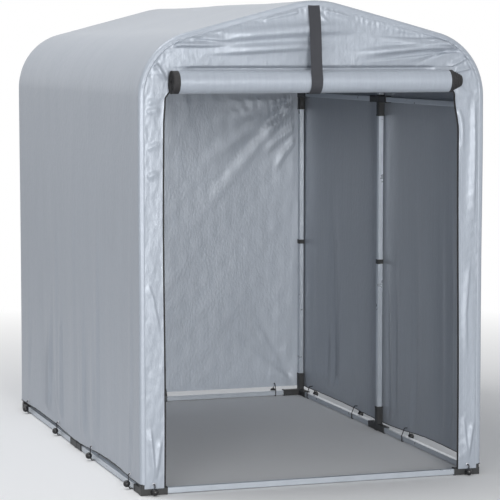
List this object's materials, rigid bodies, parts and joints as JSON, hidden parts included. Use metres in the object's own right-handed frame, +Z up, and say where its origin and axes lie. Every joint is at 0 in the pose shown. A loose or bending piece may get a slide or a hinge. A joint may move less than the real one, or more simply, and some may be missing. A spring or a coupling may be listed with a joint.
{
  "type": "bike shelter",
  "caption": "Tent bike shelter: square-tube frame on moulded joints, silver cloth cover, gable roof with rounded eaves, open front with the door panel rolled up under the gable.",
  "frame": {"origin": "centre of the rectangle the shelter covers on the ground, door roll and ties included, at ground level", "axes": "+Z up; the open front faces -Y; +Y runs along the depth and the ridge; +X to the right seen from the front"},
  "size_m": [1.3444, 2.0723, 1.73],
  "materials": {
    "tube_paint": "satin grey powder coat",
    "joint_plastic": "moulded black plastic",
    "cover_cloth": "silver coated woven polyester",
    "zip_tape": "black woven zip tape",
    "webbing": "dark grey webbing",
    "tie_ball": "black ball on black elastic"
  },
  "bodies": {
    "root": {"base_corners": "joint_plastic", "base_rails_left": "tube_paint", "base_rails_right": "tube_paint", "base_tees": "joint_plastic", "cover_back": "cover_cloth", "cover_eave_left": "cover_cloth", "cover_eave_right": "cover_cloth", "cover_gable": "cover_cloth", "cover_roof_left": "cover_cloth", "cover_roof_right": "cover_cloth", "cover_side_left": "cover_cloth", "cover_side_right": "cover_cloth", "door_roll": "cover_cloth", "eave_joints_left": "joint_plastic", "eave_joints_right": "joint_plastic", "eave_rails_left": "tube_paint", "eave_rails_right": "tube_paint", "front_flap_left": "cover_cloth", "front_flap_right": "cover_cloth", "post_couplers_left": "joint_plastic", "post_couplers_right": "joint_plastic", "posts_back": "tube_paint", "posts_front": "tube_paint", "posts_middle": "tube_paint", "rafters_back": "tube_paint", "rafters_front": "tube_paint", "rafters_middle": "tube_paint", "ridge_joints": "joint_plastic", "ridge_rails": "tube_paint", "roll_strap": "webbing", "roll_zips": "zip_tape", "sill_back": "tube_paint", "sill_front": "tube_paint", "sill_sleeves": "tube_paint", "ties_back": "tie_ball", "ties_front": "tie_ball", "ties_left": "tie_ball", "ties_right": "tie_ball", "zip_tape_left": "zip_tape", "zip_tape_right": "zip_tape"}
  },
  "joints": []
}
